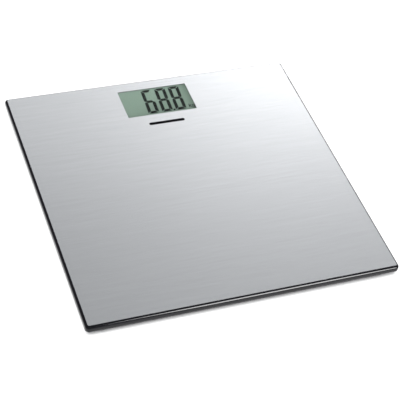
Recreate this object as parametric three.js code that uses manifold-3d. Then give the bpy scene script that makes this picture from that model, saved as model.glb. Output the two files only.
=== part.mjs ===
// Digital bathroom scale: a brushed steel sheet on a tempered glass plate, a shallow moulded tray bonded
// under it, and four load-cell feet. Millimetres, +Z up, +Y towards the display, origin on the floor under
// the middle of the plate.
import * as THREE from "three";
import { mergeVertices } from "three/addons/utils/BufferGeometryUtils.js";
import Module from "manifold-3d";

// Platform
const plateWidth = 300;
const plateDepth = 300;
const plateCornerRadius = 3.75;
const glassThickness = 6;
const glassTopRound = 2.25; // radius of the polished upper edge
const glassBottomRound = 0.75;
const sheetMargin = 2.25; // glass left bare around the sheet
const sheetThickness = 0.5;
const tapeThickness = 0.5;

// Reading window and display
const windowWidth = 72.5;
const windowDepth = 39;
const windowBackMargin = 14; // from the plate's back edge
const windowCornerRadius = 0.8;
const panelBorder = 3.5; // the panel is larger than the window on each side
const panelThickness = 2;
const panelCornerRadius = 0.5;
const frameWall = 1;
const frameLedge = 3.5;
const zebraHeight = 1.75;
const zebraWidth = 2;
const zebraEndGap = 1; // from a strip's end to the frame's ledge
const boardThickness = 1;
const boardCornerRadius = 1;
const boardSideMargin = 8.75; // board beyond the frame, left and right
const chipX = -10;
const chipRadius = 6;
const chipHeight = 1;
const switchSize = 4.5;
const switchHeight = 0.75;

// Tray
const trayInset = 6; // from the plate's edge
const trayWall = 2.5;
const trayFloor = 2;
const trayCornerRadius = 10;
const trayEdgeRound = 0.75;
const standHeight = 3; // floor to the tray's underside
const ribThickness = 1.6;
const ribPitch = 48;
const ribEndGap = 10; // from the ribs' ends to the board
const ribHeadroom = 1; // from a rib's top to the tray's rim

// Feet and load cells
const footRadius = 16.25;
const footTravel = 0.5;
const capWall = 2; // of the cap around its pad
const capSkirtHeight = 1.25; // cap's lower rim above the floor
const capRimChamfer = 0.5;
const capFlangeWidth = 3.25;
const capFlangeThickness = 1.25;
const spigotRadius = 4;
const padThickness = 2.25;
const padEdge = 0.4;
const ringWall = 1.5;
const flangeRoom = 1; // around the cap's flange, inside the ring
const cellInset = 3.5; // the cell's sides lie this far inside the ring, so that its corners rest on it
const cellThickness = 2;
const cellCornerRadius = 3;
const tongueWidth = 10;
const tongueInset = 8; // from the cell's edge to the slot's ends
const slotWidth = 2;
const clampBorder = 3; // clamp beyond the cell on each side
const clampThickness = 1.25;
const clampOpening = 20;
const earLength = 6; // ear beyond the clamp
const earWidth = 10;
const earMargin = 2.5; // from an ear to the tray's wall
const gaugeSize = 6;
const gaugeHeight = 0.75;
const gaugeCornerRadius = 1.5;
const gaugeEdgeGap = 1; // from the gauge's cover to the clamp's opening

// Battery bay, on the right edge of the tray
const coinRadius = 10;
const coinThickness = 3.2;
const coinEdge = 0.3;
const coinStep = 1.5; // width of the rim around the cell's upper face
const bayY = 40;
const bayRoom = 0.75; // around the cell
const bayWall = 1.5;
const bayCeiling = 1.25;
const doorFaceThickness = 0.75;
const doorFlangeThickness = 0.5;
const doorFlangeWidth = 1.5;
const doorOverlap = 2.5; // door's face beyond the bay on each side
const doorGripGrooves = 4;
const gripPitch = 2;
const gripWidth = 1;
const gripLength = 14;
const gripDepth = 0.4;
const gripSetback = 4; // first groove from the door's outer end
const contactThickness = 0.5;
const contactWidth = 6;
const contactGap = 1; // between the cell and the bay's inner end, beyond the contact
const contactTab = 3; // how far a contact's tab stands out of the bay
const plusOffset = 4; // contact's middle from the bay's middle
const minusOffset = 5;
const minusReach = 6; // over the cell, past its middle
const coinHeadroom = 0.3; // from the cell to the minus contact
const plusTabDrop = 0.75; // tab's underside below the cell's upper face
const glassClearance = 0.75; // tray's rim above the bay's ceiling

// Unit button
const buttonX = 30;
const buttonSetback = 12; // in front of the window's centre
const buttonRadius = 4;
const buttonFlange = 1;
const buttonFlangeThickness = 0.75;
const buttonCounterbore = 1; // from the tray's underside to the button's flange
const buttonChamfer = 0.5;
const buttonStemRadius = 1.5;
const buttonTravel = 0.5;
const buttonRecess = 0.25; // below the tray's underside

// Screws and leads
const screwRadius = 1;
const screwHeadRadius = 2.25;
const screwHeadHeight = 1;
const bossRadius = 2.75;
const screwFloor = 1.25; // plastic left under a board screw's point
const leadRadius = 0.6;
const leadBend = 3; // a bend starts this far before its corner
const leadStep = 6;
const leadLanding = 4; // length of lead that lies on the board
const leadLift = 0.6; // under a lead, over the tray's floor
const boardLift = 0.3; // under a lead, over the board
const cellLift = 0.1; // under a lead, over its load cell
const laneGap = 11; // from the feet's rings to the lane of the sensor leads
const laneMargin = 4; // from the lane to the ribs
const sensorEntryBack = 14; // where each lead crosses the board's side, from the window's middle
const plusEntry = -6;
const minusEntry = -12;
const sensorEntryFront = -17;
const plusGap = 3; // from the foot's ring to each battery lead
const minusGap = 6;

// Clearances
const sideClearance = 0.3;
const stackClearance = 0.25;
const weld = 0.5; // how far a moulded detail is sunk into the tray that it is part of
const past = 5; // how far a cutting shape runs past what it cuts

// Facets around a full turn, by size
const largeTurn = 28;
const mediumTurn = 20;
const smallTurn = 12;
const quarterTurn = 3; // around an outline's corner

// Levels above the floor
const zTrayBottom = standHeight;
const zFloorTop = zTrayBottom + trayFloor;
const zDoorFlange = zTrayBottom + doorFaceThickness;
const zSlotTop = zDoorFlange + doorFlangeThickness + stackClearance;
const zCoinBottom = zSlotTop + stackClearance;
const zPlusTab = zCoinBottom + coinThickness - plusTabDrop;
const zMinusContact = zCoinBottom + coinThickness + coinHeadroom;
const zBayCeiling = zMinusContact + contactThickness + stackClearance;
const zTrayTop = zBayCeiling + bayCeiling + glassClearance;
const zGlassBottom = zTrayTop + tapeThickness;
const zGlassTop = zGlassBottom + glassThickness;
const zPanelTop = zGlassBottom - stackClearance;
const zPanelBottom = zPanelTop - panelThickness;
const zBoardTop = zPanelBottom - zebraHeight;
const zBoardBottom = zBoardTop - boardThickness;
const zSwitchBottom = zBoardBottom - switchHeight;
const zClampTop = zGlassBottom - stackClearance;
const zCellTop = zClampTop - clampThickness;
const zCellBottom = zCellTop - cellThickness;
const zEarBottom = zCellTop - clampThickness;
const zButtonFlange = zTrayBottom + buttonCounterbore;
const zLeadOnFloor = zFloorTop + leadLift + leadRadius;
const zLeadOnBoard = zBoardTop + boardLift + leadRadius;
const zLeadOnCell = zCellTop + cellLift + leadRadius;

// Plan sizes that follow from the above
const trayHalfX = plateWidth / 2 - trayInset;
const trayHalfY = plateDepth / 2 - trayInset;
const trayInnerRadius = trayCornerRadius - trayWall;
const windowY = plateDepth / 2 - windowBackMargin - windowDepth / 2;
const panelHalfX = windowWidth / 2 + panelBorder;
const panelHalfY = windowDepth / 2 + panelBorder;
const frameHalfX = panelHalfX + stackClearance + frameWall;
const frameHalfY = panelHalfY + stackClearance + frameWall;
const boardHalfX = frameHalfX + boardSideMargin;
const boardHalfY = frameHalfY;
const boardScrewX = (frameHalfX + boardHalfX) / 2;
const boardScrewY = boardHalfY - bossRadius - sideClearance;
const footHoleRadius = footRadius + 2 * sideClearance;
const capFlangeRadius = footRadius + capFlangeWidth;
const padRadius = footRadius - capWall - stackClearance;
const ringRadius = capFlangeRadius + flangeRoom;
const ringOuterRadius = ringRadius + ringWall;
const cellHalf = ringRadius - cellInset;
const clampHalf = cellHalf + clampBorder;
const earReach = clampHalf + earLength;
const earScrewY = earReach - bossRadius - sideClearance;
const footX = trayHalfX - trayWall - earMargin - earReach;
const footY = trayHalfY - trayWall - earMargin - earReach;
const bayHalf = coinRadius + bayRoom;
const bayX = trayHalfX - trayWall - bayHalf;
const bayInnerEnd = bayX - coinRadius - contactThickness - contactGap;
const plusY = bayY + plusOffset;
const minusY = bayY - minusOffset;
const contactTabEnd = bayInnerEnd - bayWall - contactTab;
const doorHalfY = bayHalf + doorOverlap;
const doorFlangeHalfY = doorHalfY + doorFlangeWidth;
const doorInnerEnd = bayInnerEnd - bayWall - weld;
const buttonY = windowY - buttonSetback;
const leadGate = boardHalfX + 2 * leadLanding; // where a lead starts to rise to the board
const ringSide = footX - ringOuterRadius;
const leadLane = ringSide - laneGap;
const pilotRadius = screwRadius + sideClearance;

const wasm = await Module();
wasm.setup();

const brushedSteel = new THREE.MeshStandardMaterial({ color: 0xc4c8ca, roughness: 0.38, metalness: 1 });
const backedGlass = new THREE.MeshStandardMaterial({ color: 0x0b0c10, roughness: 0.05, metalness: 0 });
const foamTape = new THREE.MeshStandardMaterial({ color: 0xd8d8d2, roughness: 0.9, metalness: 0 });
const blackAbs = new THREE.MeshStandardMaterial({ color: 0x17181a, roughness: 0.5, metalness: 0 });
const greyAbs = new THREE.MeshStandardMaterial({ color: 0x3c3f42, roughness: 0.55, metalness: 0 });
const whiteAbs = new THREE.MeshStandardMaterial({ color: 0xe6e6e0, roughness: 0.5, metalness: 0 });
const padRubber = new THREE.MeshStandardMaterial({ color: 0x2a2b2c, roughness: 0.85, metalness: 0 });
const panelGlass = new THREE.MeshStandardMaterial({ color: 0x8aa091, roughness: 0.25, metalness: 0 });
const zebraRubber = new THREE.MeshStandardMaterial({ color: 0xb98f9a, roughness: 0.8, metalness: 0 });
const boardGreen = new THREE.MeshStandardMaterial({ color: 0x1f5a34, roughness: 0.45, metalness: 0 });
const epoxyBlack = new THREE.MeshStandardMaterial({ color: 0x101010, roughness: 0.35, metalness: 0 });
const cellSteel = new THREE.MeshStandardMaterial({ color: 0xa9adb0, roughness: 0.35, metalness: 1 });
const springSteel = new THREE.MeshStandardMaterial({ color: 0xc9cbc8, roughness: 0.25, metalness: 1 });
const zincSteel = new THREE.MeshStandardMaterial({ color: 0x9fa3a4, roughness: 0.4, metalness: 1 });
const gaugeSilicone = new THREE.MeshStandardMaterial({ color: 0xefefe8, roughness: 0.6, metalness: 0 });
const redPvc = new THREE.MeshStandardMaterial({ color: 0xa81c1c, roughness: 0.5, metalness: 0 });
const blackPvc = new THREE.MeshStandardMaterial({ color: 0x151515, roughness: 0.5, metalness: 0 });
const greyPvc = new THREE.MeshStandardMaterial({ color: 0x8b8d8f, roughness: 0.55, metalness: 0 });

const scale = new THREE.Group();

function addPiece(parent, name, geometry, material) {
  const mesh = new THREE.Mesh(geometry, material);
  mesh.name = name;
  parent.add(mesh);
  return mesh;
}

// Booleans

function solidOf(geometry) {
  const bare = geometry.index ? geometry.toNonIndexed() : geometry.clone();
  bare.deleteAttribute("normal");
  bare.deleteAttribute("uv");
  const merged = mergeVertices(bare, 1e-4);
  return new wasm.Manifold(
    new wasm.Mesh({
      numProp: 3,
      vertProperties: new Float32Array(merged.attributes.position.array),
      triVerts: new Uint32Array(merged.index.array),
    }),
  );
}

function geometryOf(solid) {
  const mesh = solid.getMesh();
  const geometry = new THREE.BufferGeometry();
  geometry.setAttribute("position", new THREE.BufferAttribute(mesh.vertProperties, 3));
  geometry.setIndex(new THREE.BufferAttribute(mesh.triVerts, 1));
  geometry.computeVertexNormals();
  return geometry;
}

function join(...geometries) {
  return geometryOf(geometries.map(solidOf).reduce((a, b) => a.add(b)));
}

function cut(body, ...tools) {
  return geometryOf(tools.map(solidOf).reduce((a, b) => a.subtract(b), solidOf(body)));
}

// Shapes

function roundedRectangle(halfX, halfY, radius, x = 0, y = 0, outline = new THREE.Shape()) {
  outline.moveTo(x - halfX + radius, y - halfY);
  outline.lineTo(x + halfX - radius, y - halfY);
  outline.absarc(x + halfX - radius, y - halfY + radius, radius, -Math.PI / 2, 0, false);
  outline.lineTo(x + halfX, y + halfY - radius);
  outline.absarc(x + halfX - radius, y + halfY - radius, radius, 0, Math.PI / 2, false);
  outline.lineTo(x - halfX + radius, y + halfY);
  outline.absarc(x - halfX + radius, y + halfY - radius, radius, Math.PI / 2, Math.PI, false);
  outline.lineTo(x - halfX, y - halfY + radius);
  outline.absarc(x - halfX + radius, y - halfY + radius, radius, Math.PI, 1.5 * Math.PI, false);
  return outline;
}

function slab(outline, zLow, zHigh, curveSegments = quarterTurn) {
  const geometry = new THREE.ExtrudeGeometry(outline, {
    depth: zHigh - zLow,
    bevelEnabled: false,
    curveSegments,
  });
  return geometry.translate(0, 0, zLow);
}

// A slab whose upper and lower edges are both rounded by the same radius, inside its outline.
function roundedSlab(halfX, halfY, cornerRadius, zLow, zHigh, edge, bevelSegments) {
  const outline = roundedRectangle(halfX - edge, halfY - edge, cornerRadius - edge);
  const geometry = new THREE.ExtrudeGeometry(outline, {
    depth: zHigh - zLow - 2 * edge,
    bevelThickness: edge,
    bevelSize: edge,
    bevelSegments,
    curveSegments: quarterTurn,
  });
  return geometry.translate(0, 0, zLow + edge);
}

function box(xLow, xHigh, yLow, yHigh, zLow, zHigh) {
  const geometry = new THREE.BoxGeometry(xHigh - xLow, yHigh - yLow, zHigh - zLow);
  return geometry.translate((xLow + xHigh) / 2, (yLow + yHigh) / 2, (zLow + zHigh) / 2);
}

function disc(radius, zLow, zHigh, x = 0, y = 0, segments = largeTurn) {
  const geometry = new THREE.CylinderGeometry(radius, radius, zHigh - zLow, segments);
  return geometry.rotateX(Math.PI / 2).translate(x, y, (zLow + zHigh) / 2);
}

// A turned shape about Z. The profile is [radius, height] pairs, from its lowest point on the axis.
function turned(profile, segments) {
  const points = profile.map(([radius, height]) => new THREE.Vector2(radius, height));
  return new THREE.LatheGeometry(points, segments).rotateX(Math.PI / 2);
}

// Two points in place of each bend, one on either side of it, so that a curve through them keeps to it.
function softened(corners) {
  const points = [corners[0]];
  for (let i = 1; i < corners.length - 1; i += 1) {
    for (const neighbour of [corners[i - 1], corners[i + 1]]) {
      const reach = Math.min(leadBend / corners[i].distanceTo(neighbour), 0.4);
      points.push(corners[i].clone().lerp(neighbour, reach));
    }
  }
  points.push(corners[corners.length - 1]);
  return points;
}

// A round lead along a smooth curve that follows its corners.
function lead(corners) {
  const points = softened(corners.map((corner) => new THREE.Vector3(...corner)));
  const route = new THREE.CatmullRomCurve3(points, false, "centripetal");
  const section = new THREE.Shape().absarc(0, 0, leadRadius, 0, 2 * Math.PI, false);
  return new THREE.ExtrudeGeometry(section, {
    steps: Math.ceil(route.getLength() / leadStep),
    extrudePath: route,
    curveSegments: quarterTurn,
  });
}

function screw(zSeat, length) {
  return turned(
    [
      [0, zSeat - length],
      [screwRadius * 0.4, zSeat - length],
      [screwRadius, zSeat - length + screwRadius],
      [screwRadius, zSeat],
      [screwHeadRadius, zSeat],
      [screwHeadRadius, zSeat + screwHeadHeight * 0.6],
      [screwHeadRadius * 0.7, zSeat + screwHeadHeight],
      [0, zSeat + screwHeadHeight],
    ],
    smallTurn,
  );
}

// Platform

function topSheet() {
  const halfX = plateWidth / 2 - sheetMargin;
  const halfY = plateDepth / 2 - sheetMargin;
  const outline = roundedRectangle(halfX, halfY, plateCornerRadius - sheetMargin);
  const opening = new THREE.Path();
  roundedRectangle(windowWidth / 2, windowDepth / 2, windowCornerRadius, 0, windowY, opening);
  outline.holes.push(opening);
  return slab(outline, zGlassTop, zGlassTop + sheetThickness);
}

function platformGlass() {
  const halfX = plateWidth / 2;
  const halfY = plateDepth / 2;
  const zJoin = zGlassTop - glassTopRound - glassBottomRound;
  return join(
    roundedSlab(halfX, halfY, plateCornerRadius, zGlassBottom, zGlassTop, glassTopRound, 4),
    roundedSlab(halfX, halfY, plateCornerRadius, zGlassBottom, zJoin, glassBottomRound, 2),
  );
}

function platformTape() {
  const outline = roundedRectangle(trayHalfX, trayHalfY, trayCornerRadius);
  const opening = new THREE.Path();
  roundedRectangle(trayHalfX - trayWall, trayHalfY - trayWall, trayInnerRadius, 0, 0, opening);
  outline.holes.push(opening);
  return slab(outline, zTrayTop, zGlassBottom);
}

// Display

function panel() {
  const outline = roundedRectangle(panelHalfX, panelHalfY, panelCornerRadius, 0, windowY);
  return slab(outline, zPanelBottom, zPanelTop, 2);
}

// A frame round the panel, with a deep ledge under it at the left and right and a shallow one elsewhere.
function panelFrame() {
  const outer = roundedRectangle(frameHalfX, frameHalfY, frameWall, 0, windowY);
  const wellHalfX = panelHalfX + stackClearance;
  const wellHalfY = panelHalfY + stackClearance;
  const throatHalfX = wellHalfX - frameLedge;
  const throatHalfY = wellHalfY - frameWall / 2;
  const zLedge = zPanelBottom - stackClearance;
  return cut(
    slab(outer, zBoardTop, zPanelTop),
    box(-wellHalfX, wellHalfX, windowY - wellHalfY, windowY + wellHalfY, zLedge, zGlassTop),
    box(-throatHalfX, throatHalfX, windowY - throatHalfY, windowY + throatHalfY, zTrayBottom, zGlassTop),
  );
}

function zebraStrip(side) {
  const y = windowY + side * (panelHalfY - zebraWidth);
  const halfX = panelHalfX - frameLedge - zebraEndGap;
  return box(-halfX, halfX, y - zebraWidth / 2, y + zebraWidth / 2, zBoardTop, zPanelBottom);
}

function board() {
  const outline = roundedRectangle(boardHalfX, boardHalfY, boardCornerRadius, 0, windowY);
  const holes = boardScrewPlaces().map(([x, y]) =>
    disc(pilotRadius, zTrayBottom, zGlassTop, x, y, smallTurn),
  );
  return cut(slab(outline, zBoardBottom, zBoardTop, 2), ...holes);
}

function boardScrewPlaces() {
  const places = [];
  for (const side of [-1, 1]) {
    for (const end of [-1, 1]) {
      places.push([side * boardScrewX, windowY + end * boardScrewY]);
    }
  }
  return places;
}

function chipCover() {
  return turned(
    [
      [0, zBoardBottom - chipHeight],
      [chipRadius * 0.5, zBoardBottom - chipHeight * 0.85],
      [chipRadius * 0.85, zBoardBottom - chipHeight * 0.45],
      [chipRadius, zBoardBottom],
      [0, zBoardBottom],
    ],
    mediumTurn,
  );
}

function unitSwitch() {
  const half = switchSize / 2;
  return box(-half, half, -half, half, zSwitchBottom, zBoardBottom);
}

// Tray

function footPlaces() {
  return [
    ["front_left", -1, -1],
    ["front_right", 1, -1],
    ["back_left", -1, 1],
    ["back_right", 1, 1],
  ];
}

function trayShell() {
  const outer = roundedSlab(
    trayHalfX,
    trayHalfY,
    trayCornerRadius,
    zTrayBottom,
    zTrayTop + 2 * trayEdgeRound,
    trayEdgeRound,
    2,
  );
  const above = box(-plateWidth, plateWidth, -plateDepth, plateDepth, zTrayTop, zTrayTop + past);
  const cavity = roundedRectangle(trayHalfX - trayWall, trayHalfY - trayWall, trayInnerRadius);
  return cut(outer, above, slab(cavity, zFloorTop, zTrayTop + past));
}

// Stiffening ribs in the middle of the tray, between the lanes of the sensor leads.
function trayRibs() {
  const halfX = leadLane - laneMargin;
  const yLow = -trayHalfY + trayWall - weld / 2;
  const yHigh = windowY - boardHalfY - ribEndGap;
  const zLow = zFloorTop - weld;
  const zHigh = zTrayTop - ribHeadroom;
  const half = ribThickness / 2;
  const ribs = [];
  for (let x = -Math.floor(halfX / ribPitch) * ribPitch; x <= halfX; x += ribPitch) {
    ribs.push(box(x - half, x + half, yLow, yHigh, zLow, zHigh));
  }
  for (let y = yHigh - ribPitch / 2; y > yLow + ribPitch / 2; y -= ribPitch) {
    ribs.push(box(-halfX, halfX, y - half, y + half, zLow, zHigh));
  }
  return ribs;
}

function footPocket(x, y) {
  const ring = cut(
    disc(ringOuterRadius, zFloorTop - weld, zCellBottom, x, y),
    disc(ringRadius, zFloorTop - past, zCellBottom + past, x, y),
  );
  const bosses = [-1, 1].map((end) =>
    disc(bossRadius, zFloorTop - weld, zEarBottom, x, y + end * earScrewY, smallTurn),
  );
  return [ring, ...bosses];
}

function footCuts(x, y) {
  const hole = disc(footHoleRadius, zTrayBottom - past, zCellBottom, x, y);
  const pilots = [-1, 1].map((end) =>
    disc(pilotRadius, zFloorTop, zEarBottom + past, x, y + end * earScrewY, smallTurn),
  );
  return [hole, disc(ringRadius, zFloorTop, zCellBottom + past, x, y), ...pilots];
}

function batteryHousing() {
  const xHigh = trayHalfX - trayWall + weld;
  const guideHalfY = doorFlangeHalfY + sideClearance + bayWall;
  const guide = box(
    doorInnerEnd - sideClearance - bayWall,
    xHigh,
    bayY - guideHalfY,
    bayY + guideHalfY,
    zFloorTop - weld,
    zSlotTop + bayWall,
  );
  const bay = box(
    bayInnerEnd - bayWall,
    xHigh,
    bayY - bayHalf - bayWall,
    bayY + bayHalf + bayWall,
    zFloorTop - weld,
    zBayCeiling + bayCeiling,
  );
  return [guide, bay];
}

function batteryCuts() {
  const xHigh = trayHalfX + past;
  const faceHalfY = doorHalfY + sideClearance;
  const slotHalfY = doorFlangeHalfY + sideClearance;
  const slotStart = doorInnerEnd - sideClearance;
  const zLip = zDoorFlange - stackClearance;
  const reach = contactWidth / 2 + stackClearance;
  const tabRoom = contactThickness + stackClearance;
  const wallLow = bayInnerEnd - bayWall - weld;
  const wallHigh = bayInnerEnd + weld;
  return [
    box(slotStart, xHigh, bayY - faceHalfY, bayY + faceHalfY, zTrayBottom - past, zSlotTop),
    box(slotStart, xHigh, bayY - slotHalfY, bayY + slotHalfY, zLip, zSlotTop),
    box(bayInnerEnd, bayX + bayHalf, bayY - bayHalf, bayY + bayHalf, zLip, zBayCeiling),
    box(wallLow, wallHigh, plusY - reach, plusY + reach, zPlusTab - stackClearance, zPlusTab + tabRoom),
    box(wallLow, wallHigh, minusY - reach, minusY + reach, zMinusContact - stackClearance, zBayCeiling),
  ];
}

function baseTray() {
  const added = [...trayRibs(), ...batteryHousing()];
  const removed = batteryCuts();
  for (const [, sideX, sideY] of footPlaces()) {
    added.push(...footPocket(sideX * footX, sideY * footY));
    removed.push(...footCuts(sideX * footX, sideY * footY));
  }
  for (const [x, y] of boardScrewPlaces()) {
    added.push(disc(bossRadius, zFloorTop - weld, zBoardBottom, x, y, smallTurn));
    removed.push(disc(pilotRadius, zTrayBottom + screwFloor - stackClearance, zBoardTop, x, y, smallTurn));
  }
  const buttonHole = buttonRadius + sideClearance;
  removed.push(disc(buttonHole, zTrayBottom - past, zBoardTop, buttonX, buttonY, mediumTurn));
  removed.push(disc(buttonHole + buttonFlange, zButtonFlange, zBoardTop, buttonX, buttonY, mediumTurn));
  return cut(join(trayShell(), ...added), ...removed);
}

// Feet and load cells, each about its own foot's axis

function footCap() {
  return turned(
    [
      [0, padThickness],
      [padRadius + stackClearance, padThickness],
      [padRadius + stackClearance, capSkirtHeight],
      [footRadius - capRimChamfer, capSkirtHeight],
      [footRadius, capSkirtHeight + capRimChamfer],
      [footRadius, zFloorTop],
      [capFlangeRadius, zFloorTop],
      [capFlangeRadius, zFloorTop + capFlangeThickness],
      [spigotRadius, zFloorTop + capFlangeThickness],
      [spigotRadius, zCellBottom - footTravel - stackClearance],
      [0, zCellBottom - footTravel - stackClearance],
    ],
    largeTurn,
  );
}

function footPad() {
  return turned(
    [
      [0, 0],
      [padRadius - padEdge, 0],
      [padRadius, padEdge],
      [padRadius, padThickness],
      [0, padThickness],
    ],
    largeTurn,
  );
}

// A steel plate with a U-shaped slot that leaves a tongue, joined on its +X side.
function loadCell() {
  const tongue = tongueWidth / 2;
  const outline = roundedRectangle(cellHalf, cellHalf, cellCornerRadius);
  const root = cellHalf - tongueInset;
  const tip = -root;
  const slot = new THREE.Path();
  slot.moveTo(root, tongue);
  slot.lineTo(tip, tongue);
  slot.lineTo(tip, -tongue);
  slot.lineTo(root, -tongue);
  slot.lineTo(root, -tongue - slotWidth);
  slot.lineTo(tip - slotWidth, -tongue - slotWidth);
  slot.lineTo(tip - slotWidth, tongue + slotWidth);
  slot.lineTo(root, tongue + slotWidth);
  slot.closePath();
  outline.holes.push(slot);
  return slab(outline, zCellBottom, zCellTop);
}

function gaugeCover() {
  const half = gaugeSize / 2;
  const outline = roundedRectangle(half, half, gaugeCornerRadius, clampOpening / 2 - half - gaugeEdgeGap);
  return slab(outline, zCellTop, zCellTop + gaugeHeight);
}

function cellClamp() {
  const opening = clampOpening / 2;
  const wallInner = cellHalf + sideClearance;
  const plate = slab(roundedRectangle(clampHalf, clampHalf, cellCornerRadius), zCellTop, zClampTop);
  const ears = [-1, 1].flatMap((end) => {
    const near = end > 0 ? wallInner : -clampHalf;
    const far = end > 0 ? clampHalf : -wallInner;
    const earNear = end > 0 ? wallInner : -earReach;
    const earFar = end > 0 ? earReach : -wallInner;
    return [
      box(-earWidth / 2, earWidth / 2, near, far, zEarBottom, zClampTop),
      box(-earWidth / 2, earWidth / 2, earNear, earFar, zEarBottom, zCellTop),
    ];
  });
  const leadNotch = leadRadius + stackClearance;
  return cut(
    join(plate, ...ears),
    box(-opening, opening, -opening, opening, zEarBottom, zGlassTop),
    box(0, earReach, -leadNotch, leadNotch, zEarBottom, zGlassTop),
    ...[-1, 1].map((end) => disc(pilotRadius, zTrayBottom, zGlassTop, 0, end * earScrewY, smallTurn)),
  );
}

// Battery parts

function coinCell() {
  const zTop = zCoinBottom + coinThickness;
  return turned(
    [
      [0, zCoinBottom],
      [coinRadius - coinEdge, zCoinBottom],
      [coinRadius, zCoinBottom + coinEdge],
      [coinRadius, zTop - coinEdge],
      [coinRadius - coinStep, zTop - coinEdge],
      [coinRadius - coinStep, zTop],
      [0, zTop],
    ],
    largeTurn,
  ).translate(bayX, bayY, 0);
}

function plusContact() {
  const half = contactWidth / 2;
  const leafX = bayX - coinRadius - sideClearance;
  const zTabTop = zPlusTab + contactThickness;
  return join(
    box(leafX - contactThickness, leafX, plusY - half, plusY + half, zCoinBottom + coinEdge, zTabTop),
    box(contactTabEnd, leafX, plusY - half, plusY + half, zPlusTab, zTabTop),
  );
}

function minusContact() {
  const half = contactWidth / 2;
  const zTop = zMinusContact + contactThickness;
  return box(contactTabEnd, bayX + minusReach, minusY - half, minusY + half, zMinusContact, zTop);
}

function batteryDoor() {
  const outerEnd = trayHalfX;
  const yHalf = gripLength / 2;
  const grooves = [];
  for (let i = 0; i < doorGripGrooves; i += 1) {
    const x = outerEnd - gripSetback - gripPitch * i;
    const [xLow, xHigh] = [x - gripWidth / 2, x + gripWidth / 2];
    grooves.push(box(xLow, xHigh, bayY - yHalf, bayY + yHalf, zTrayBottom - past, zTrayBottom + gripDepth));
  }
  const flangeTop = zDoorFlange + doorFlangeThickness;
  return cut(
    join(
      box(doorInnerEnd, outerEnd, bayY - doorHalfY, bayY + doorHalfY, zTrayBottom, flangeTop),
      box(doorInnerEnd, outerEnd, bayY - doorFlangeHalfY, bayY + doorFlangeHalfY, zDoorFlange, flangeTop),
    ),
    ...grooves,
  );
}

function unitButton() {
  const zFace = zTrayBottom + buttonRecess;
  const zStem = zSwitchBottom - buttonTravel - stackClearance;
  return turned(
    [
      [0, zFace],
      [buttonRadius - buttonChamfer, zFace],
      [buttonRadius, zFace + buttonChamfer],
      [buttonRadius, zButtonFlange],
      [buttonRadius + buttonFlange, zButtonFlange],
      [buttonRadius + buttonFlange, zButtonFlange + buttonFlangeThickness],
      [buttonStemRadius, zButtonFlange + buttonFlangeThickness],
      [buttonStemRadius, zStem],
      [0, zStem],
    ],
    mediumTurn,
  );
}

// Leads: each runs above the tray's floor and ends over the board's side.

function boardEnd(sideX, offsetY) {
  return [
    [sideX * leadGate, windowY + offsetY, zLeadOnFloor],
    [sideX * (boardHalfX + leadLanding / 2), windowY + offsetY, zLeadOnBoard],
    [sideX * (boardHalfX - leadLanding), windowY + offsetY, zLeadOnBoard],
  ];
}

function sensorLead(sideX, sideY) {
  const dropEnd = sideY > 0 ? (ringSide + leadGate) / 2 : leadLane + leadBend;
  const start = [
    [sideX * (footX - clampOpening / 2 + sideClearance), sideY * footY, zLeadOnCell],
    [sideX * (ringSide - leadRadius), sideY * footY, zLeadOnCell],
    [sideX * dropEnd, sideY * footY, zLeadOnFloor],
  ];
  if (sideY > 0) {
    return lead([...start, ...boardEnd(sideX, sensorEntryBack)]);
  }
  return lead([
    ...start,
    [sideX * leadLane, -footY + ringOuterRadius, zLeadOnFloor],
    [sideX * leadLane, 0, zLeadOnFloor],
    [sideX * leadLane, windowY - boardHalfY - ringWall - leadBend, zLeadOnFloor],
    ...boardEnd(sideX, sensorEntryFront),
  ]);
}

// The two battery leads run side by side between the ring of the foot behind the bay and the sensors' lane.
function batteryLead(contactY, zTab, entryY, ringGap) {
  const start = contactTabEnd - sideClearance;
  const x = ringSide - ringGap;
  return lead([
    [start, contactY, zTab + contactThickness / 2],
    [start - leadBend, contactY, zLeadOnFloor + leadRadius],
    [x, contactY + 2 * contactWidth, zLeadOnFloor],
    [x, windowY + entryY - 2 * leadBend, zLeadOnFloor],
    ...boardEnd(1, entryY),
  ]);
}

// Assembly

addPiece(scale, "top_sheet", topSheet(), brushedSteel);
addPiece(scale, "platform_glass", platformGlass(), backedGlass);
addPiece(scale, "platform_tape", platformTape(), foamTape);
addPiece(scale, "base_tray", baseTray(), blackAbs);

addPiece(scale, "lcd_panel", panel(), panelGlass);
addPiece(scale, "lcd_frame", panelFrame(), whiteAbs);
addPiece(scale, "zebra_strip_front", zebraStrip(-1), zebraRubber);
addPiece(scale, "zebra_strip_back", zebraStrip(1), zebraRubber);
addPiece(scale, "main_board", board(), boardGreen);
addPiece(scale, "chip_cover", chipCover(), epoxyBlack).position.set(chipX, windowY, 0);
addPiece(scale, "unit_switch", unitSwitch(), greyAbs).position.set(buttonX, buttonY, 0);
addPiece(scale, "unit_button", unitButton(), greyAbs).position.set(buttonX, buttonY, 0);
boardScrewPlaces().forEach(([x, y], i) => {
  const length = zBoardTop - zTrayBottom - screwFloor;
  addPiece(scale, `board_screw_${i + 1}`, screw(zBoardTop, length), zincSteel).position.set(x, y, 0);
});

addPiece(scale, "coin_cell", coinCell(), springSteel);
addPiece(scale, "cell_contact_plus", plusContact(), springSteel);
addPiece(scale, "cell_contact_minus", minusContact(), springSteel);
addPiece(scale, "battery_door", batteryDoor(), blackAbs);
addPiece(scale, "battery_lead_plus", batteryLead(plusY, zPlusTab, plusEntry, plusGap), redPvc);
addPiece(scale, "battery_lead_minus", batteryLead(minusY, zMinusContact, minusEntry, minusGap), blackPvc);

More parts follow.
